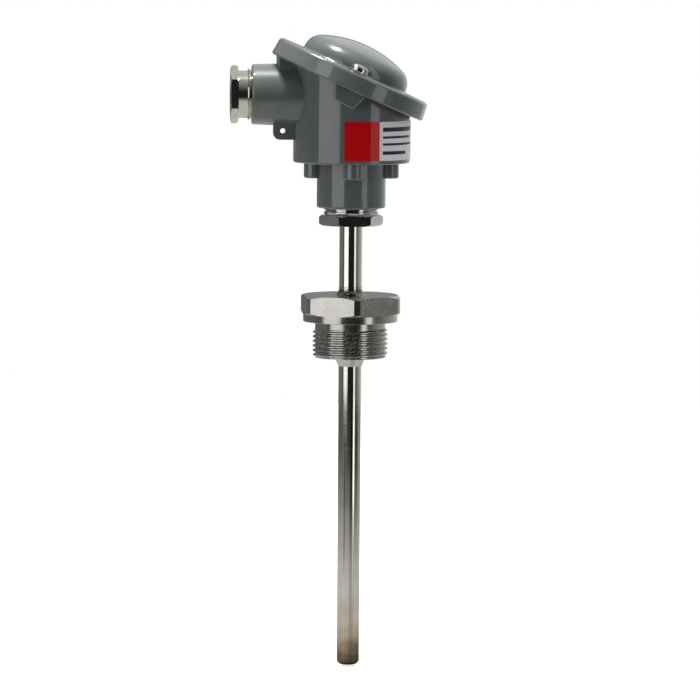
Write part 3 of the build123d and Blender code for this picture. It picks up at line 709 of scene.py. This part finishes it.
def process_fitting():
    """Hexagon, collar, undercut and thread as rings of one profile. A ring's radius is a number, or the
    thread's radius, or over the hexagon the smaller of the bar's radius and the flat's, half the width over
    the flats by the cosine of the angle from the flat's middle. The chamfer's edge is where its cone meets
    that radius."""
    theta, from_middle = hexagon_columns()
    ones = np.ones_like(theta)
    hex_top = HEX_TOP / MM
    side = np.minimum(HEX_HALF_FLATS / np.cos(from_middle), BAR_RADIUS)
    end_radius = BAR_RADIUS - BAR_CHAMFER
    drop = np.maximum(side - end_radius, 0.0) * BAR_CHAMFER_HEIGHT / BAR_CHAMFER
    end = np.minimum(side, end_radius)
    steps = round((UNDERCUT_TOP - THREAD_END) / PROCESS_THREAD["pitch"] * THREAD_ROWS_PER_PITCH)
    z = np.linspace(THREAD_END, UNDERCUT_TOP, steps)[:, None] * ones
    thread = threaded(z, theta, THREAD_END, UNDERCUT_TOP, **PROCESS_THREAD)
    upper = [
        (UNDERCUT_RADIUS, UNDERCUT_TOP),
        (UNDERCUT_RADIUS, RELIEF_DEPTH),
        (RELIEF_RADIUS, RELIEF_DEPTH),
        (RELIEF_RADIUS, 0.0),
        (COLLAR_RADIUS - EDGE_BREAK, 0.0),
        (COLLAR_RADIUS, EDGE_BREAK),
        (COLLAR_RADIUS, COLLAR_HEIGHT),
        (end, COLLAR_HEIGHT),
        (side, COLLAR_HEIGHT + drop),
        (side, hex_top - drop),
        (end, hex_top),
        (TUBE_BORE, hex_top),
        (TUBE_BORE, THREAD_END),
    ]
    radii = np.concatenate([thread, np.stack([radius * ones for radius, _ in upper])])
    heights = np.concatenate([z, np.stack([height * ones for _, height in upper])])
    piece = surface("process_fitting", lathe(radii, heights, theta), FINISHES["process_steel"], along=True)
    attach(piece, "head")
    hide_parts("process_connection")


def screw_head():
    """Raised cheese head with its slot along y, on height 0: x is the radius by the sine of a, y is v by the
    width there. The top is the wall's height and, above it, the crown, which falls as the root of one less
    the distance from the axis to the crown's power; within the slot it is no higher than the slot's floor."""
    edge = np.arcsin(SLOT_WIDTH / 2 / HEAD_RADIUS)
    left = np.linspace(-pi / 2, -edge, HEAD_COLUMNS)
    a = np.concatenate([left, np.linspace(-edge, edge, SLOT_COLUMNS), -left[::-1]])
    outside = np.zeros(HEAD_COLUMNS, bool)
    in_slot = np.concatenate([outside, np.ones(SLOT_COLUMNS, bool), outside])
    v = np.sin(np.linspace(-pi / 2, pi / 2, HEAD_ROWS))[:, None]
    x = HEAD_RADIUS * np.sin(a)[None, :] * np.ones_like(v)
    y = HEAD_RADIUS * np.cos(a)[None, :] * v
    off_axis = np.minimum(np.hypot(x, y) / HEAD_RADIUS, 1.0)
    top = HEAD_WALL + (HEAD_HEIGHT - HEAD_WALL) * np.sqrt(1.0 - off_axis ** CROWN_POWER)
    top = np.where(in_slot[None, :], np.minimum(top, HEAD_HEIGHT - SLOT_DEPTH), top)
    upper = np.stack([x, y, top], axis=-1)
    lower = np.stack([x, y, np.zeros_like(top)], axis=-1)[::-1]
    return np.concatenate([upper, lower])


def screw_shank(low):
    """Threaded shank from the low end up to height 0, as rings closed at both ends."""
    theta = full_turn(SHANK_COLUMNS)
    rows = round(-low / SHANK_THREAD["pitch"] * SHANK_ROWS_PER_PITCH)
    z = np.linspace(low, 0.0, rows)[:, None] * np.ones_like(theta)
    radii = threaded(z, theta, low, SHANK_THREAD["depth"], **SHANK_THREAD)
    ends = ((1, 1), (0, 0))
    return lathe(np.pad(radii, ends), np.pad(z, ends, mode="edge"), theta)


def washer_pair():
    """Spring washer on a flat washer under the screw's head, as rings of one profile: each outer edge is the
    washer's radius less twice the round of its rim times one less the cosine of the angle over the rim."""
    theta = full_turn(WASHER_COLUMNS)
    bend = np.linspace(-pi / 2, pi / 2, RIM_ROWS)
    half = WASHER_HEIGHT / 4
    rim = [(WASHER_BORE, -WASHER_HEIGHT)]
    for middle, radius in ((-3 * half, WASHER_RADIUS), (-half, WASHER_RADIUS - 2 * WASHER_ROUND)):
        rim += [(radius - 2 * WASHER_ROUND * (1.0 - cos(t)), middle + half * sin(t)) for t in bend]
    rim += [(WASHER_BORE, 0.0)]
    radii, heights = np.array(rim).T
    ones = np.ones_like(theta)
    return lathe(radii[:, None] * ones, heights[:, None] * ones, theta)


def cover_screw(side):
    """One cover screw: the head, and a threaded shank below it, turned to the cover's slant and set on the
    solid screw's own axis, its top level with that screw's; with its washers, which stay on the cover."""
    name = f"cover_screw_{side}"
    joint = joint_of(f"{name}_turn")
    axis = Vector(joint["axis"]).normalized()
    solid = NODES[name].data
    places = np.empty(len(solid.vertices) * 3)
    solid.vertices.foreach_get("co", places)
    along = places.reshape(-1, 3) @ np.array(axis) / MM
    seat = along.max() - HEAD_HEIGHT
    slant = axis.to_track_quat("Z", "Y").to_matrix() @ Matrix.Rotation(radians(SLOT_TURN), 3, "Z")
    foot = Vector(joint["pos_m"]) / MM
    foot += axis * (seat - foot.dot(axis))
    finish = FINISHES["screw_steel"]
    shank = screw_shank(along.min() - seat)
    for part, points, around, closed in (("head", screw_head(), False, True), ("shank", shank, True, False)):
        placed = points @ np.array(slant).T + np.array(foot)
        piece = surface(f"{name}_{part}", placed, finish, around, closed)
        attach(piece, f"{side}_screw")
        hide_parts(name)
    washers = washer_pair() @ np.array(slant).T + np.array(foot)
    piece = surface(f"cover_washer_{side}", washers, finish, True, True)
    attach(piece, "cover")
    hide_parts("cover_washers")


def insert_spring(side):
    """Coil spring in the space of the solid one: a circle of the wire's radius carried along a helix. The
    helix rises at a pitch that grows from a closed one at both ends to an open one, as a smooth step of the
    distance from the nearer end in turns."""
    name = f"insert_spring_{side}"
    low, high = (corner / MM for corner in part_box(name))
    middle = np.array([(low.x + high.x) / 2, (low.y + high.y) / 2, 0.0])
    radius = (high.x - low.x) / 2 - SPRING_WIRE
    turns = np.linspace(0.0, SPRING_TURNS, round(SPRING_TURNS * SPRING_ROWS_PER_TURN) + 1)
    inward = np.clip(np.minimum(turns, SPRING_TURNS - turns) - SPRING_CLOSED_TURNS, 0.0, 1.0)
    pitch = SPRING_END_PITCH + (1.0 - SPRING_END_PITCH) * eased(inward)
    climb = np.concatenate([[0.0], np.cumsum((pitch[1:] + pitch[:-1]) / 2)])
    z = low.z + SPRING_WIRE + climb / climb[-1] * (high.z - low.z - 2 * SPRING_WIRE)
    angle = 2 * pi * turns
    outward = np.stack([np.cos(angle), np.sin(angle), 0.0 * angle], axis=-1)
    centre = radius * outward + middle + z[:, None] * (0.0, 0.0, 1.0)
    tangent = np.gradient(centre, axis=0)
    tangent /= np.linalg.norm(tangent, axis=1, keepdims=True)
    across = np.cross(tangent, outward)
    across /= np.linalg.norm(across, axis=1, keepdims=True)
    around = full_turn(WIRE_COLUMNS)[None, :, None]
    ring = np.cos(around) * outward[:, None] + np.sin(around) * across[:, None]
    skin = centre[:, None] + SPRING_WIRE * ring
    first, last = (np.repeat(centre[k][None, None], WIRE_COLUMNS, axis=1) for k in (0, -1))
    piece = surface(f"{name}_coil", np.concatenate([first, skin, last]), FINISHES["spring_steel"])
    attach(piece, "head")
    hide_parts(name)
    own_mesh(piece)


def studio():
    """World: white to the eye; to surfaces a dim room, lighter behind and on its right side than in front."""
    world = bpy.data.worlds.new("studio")
    world.use_nodes = True
    bpy.context.scene.world = world
    tree = world.node_tree
    tree.nodes.clear()
    source = node(tree, "ShaderNodeTexCoord")
    x, y, z = parts_of(tree, source.outputs["Generated"])
    right = remap(tree, y, *RIGHT_WALL)
    left = remap(tree, y, *LEFT_WALL, True)
    share = remap(tree, x, *RIGHT_FROM_LEFT, True)
    across = add(tree, left, multiply(tree, share, subtract(tree, right, left)))
    behind = remap(tree, y, *BEHIND, True)
    total = add(tree, multiply(tree, across, behind), remap(tree, z, *CEILING, True))
    eye = node(tree, "ShaderNodeLightPath")
    strength = node(tree, "ShaderNodeMix", data_type="FLOAT")
    link(tree, eye.outputs["Is Camera Ray"], strength.inputs["Factor"])
    link(tree, total, strength.inputs["A"])
    strength.inputs["B"].default_value = 1.0
    background = node(tree, "ShaderNodeBackground")
    background.inputs["Color"].default_value = (1.0, 1.0, 1.0, 1.0)
    link(tree, strength.outputs["Result"], background.inputs["Strength"])
    output = node(tree, "ShaderNodeOutputWorld")
    link(tree, background.outputs[0], output.inputs["Surface"])


def lamp_panel(name, width, height, radiance):
    """Rectangular lamp that the eye doesn't see, with the same radiance all over."""
    lamp = bpy.data.lights.new(name, "AREA")
    lamp.shape = "RECTANGLE"
    lamp.size = width
    lamp.size_y = height
    lamp.energy = radiance * pi * width * height
    panel = bpy.data.objects.new(name, lamp)
    bpy.context.scene.collection.objects.link(panel)
    panel.visible_camera = False
    return panel


def soft_box(name, azimuth, distance, width, low, high, radiance, mirrored=True):
    """Upright lamp panel that faces the stem, azimuth in degrees from the camera's side towards +X; where it
    isn't mirrored, it lights the surfaces without showing in them."""
    panel = lamp_panel(name, width, high - low, radiance)
    turn = radians(azimuth + CAMERA_TURN)
    panel.location = (distance * sin(turn), -distance * cos(turn), (low + high) / 2)
    panel.rotation_euler = (pi / 2, 0.0, turn)
    panel.visible_glossy = mirrored


def top_lamp(height, forward, side, size, radiance):
    """Small bright lamp panel overhead, aimed at the head."""
    panel = lamp_panel("top_lamp", size, size, radiance)
    panel.location = (side, -forward, height)
    aim = Vector((0.0, 0.0, TOP_LAMP_AIM)) - panel.location
    panel.rotation_euler = aim.to_track_quat("-Z", "Y").to_euler()


def floor_seen(tree):
    """How pale the parts see the floor, all of it painted light and shade: a painted pool of light in the middle
    that dips at the front, darker farther out except at the far sides, with one painted bright line and two
    painted dark lines that run outwards and show as reflected lines down the tube."""
    x, y, _ = parts_of(tree, object_place(tree))
    radius = distance_from_stem(tree, x, y)
    near = remap(tree, radius, *NEAR_STEM, True)
    side = subtract(tree, angle_from_front(tree, x, y), radians(CAMERA_TURN))

    def off(direction):
        return distance_from(tree, side, radians(direction))

    front = remap_angle(tree, off(FRONT_SIDE), *FRONT_DIP)
    far_right, far_left = (remap_angle(tree, side, *values) for values in (FAR_RIGHT, FAR_LEFT))
    far = arith(tree, "MAXIMUM", far_right, far_left)
    middle = multiply(tree, near, multiply(tree, front, NEAR_PALE))
    around = add(tree, middle, multiply(tree, far, subtract(tree, 1.0, near)))
    bright_from, dark_from, left_from = (
        remap(tree, radius, *values) for values in (BRIGHT_FROM, DARK_FROM, LEFT_FROM)
    )
    # Painted highlight line and painted shade lines on the floor, mirrored by the tube
    bright = multiply(tree, remap_angle(tree, off(BRIGHT_SIDE), *BRIGHT_LINE), bright_from)
    dark = arith(tree, "MAXIMUM", remap_angle(tree, off(DARK_SIDE), *DARK_LINE, False), dark_from)
    left = arith(tree, "MAXIMUM", remap_angle(tree, off(LEFT_SIDE), *LEFT_LINE), left_from)
    return multiply(tree, add(tree, around, bright), multiply(tree, left, dark))


def pale_floor():
    """White floor disc under the tip: diffuse, with plain white added for the eye, darker to reflections and there
    painted with light and shade.
    """
    angles = full_turn(FLOOR_CORNERS)
    height = TIP - FLOOR_GAP
    rim = [(FLOOR_RADIUS * cos(angle), FLOOR_RADIUS * sin(angle), height) for angle in angles]
    mesh = bpy.data.meshes.new("floor")
    mesh.from_pydata(rim, [], [tuple(range(FLOOR_CORNERS))])
    floor = bpy.data.objects.new("floor", mesh)
    bpy.context.scene.collection.objects.link(floor)
    material, tree, shader = finish_of("floor_white", Roughness=1.0, Specular_IOR_Level=0.0)
    shader.inputs["Emission Color"].default_value = (1.0, 1.0, 1.0, 1.0)
    by_parts = node(tree, "ShaderNodeCombineColor")
    seen = floor_seen(tree)
    for socket in by_parts.inputs:
        link(tree, seen, socket)
    eye = node(tree, "ShaderNodeLightPath").outputs["Is Camera Ray"]
    shade = blend_colors(tree, eye, by_parts.outputs["Color"], FLOOR_WHITE)
    link(tree, shade, shader.inputs["Base Color"])
    link(tree, multiply(tree, eye, FLOOR_GLOW), shader.inputs["Emission Strength"])
    floor.data.materials.append(material)


def photo_camera():
    """Camera at the photograph's place, with its slight turn, tilt and roll."""
    data = bpy.data.cameras.new("camera")
    data.sensor_width = PICTURE_WIDTH
    data.lens = LENS
    data.clip_start, data.clip_end = CAMERA_SEES
    camera = bpy.data.objects.new("camera", data)
    bpy.context.scene.collection.objects.link(camera)
    turn = radians(CAMERA_TURN)
    place = Vector((CAMERA_DISTANCE * sin(turn), -CAMERA_DISTANCE * cos(turn), CAMERA_HEIGHT))
    aim = Vector((0.0, 0.0, AIM_HEIGHT))
    look = (aim - place).to_track_quat("-Z", "Y").to_matrix().to_4x4()
    camera.matrix_world = Matrix.Translation(place) @ look @ Matrix.Rotation(radians(CAMERA_ROLL), 4, "Z")
    bpy.context.scene.camera = camera


bpy.context.scene.view_settings.view_transform = "Standard"
dress_nodes()
process_fitting()
cover_screw("front")
cover_screw("rear")
insert_spring("front")
insert_spring("rear")
studio()
soft_box("left_box", **LEFT_BOX)
soft_box("right_box", **RIGHT_BOX)
soft_box("back_box", **BACK_BOX, mirrored=False)
top_lamp(**TOP_LAMP)
pale_floor()
photo_camera()
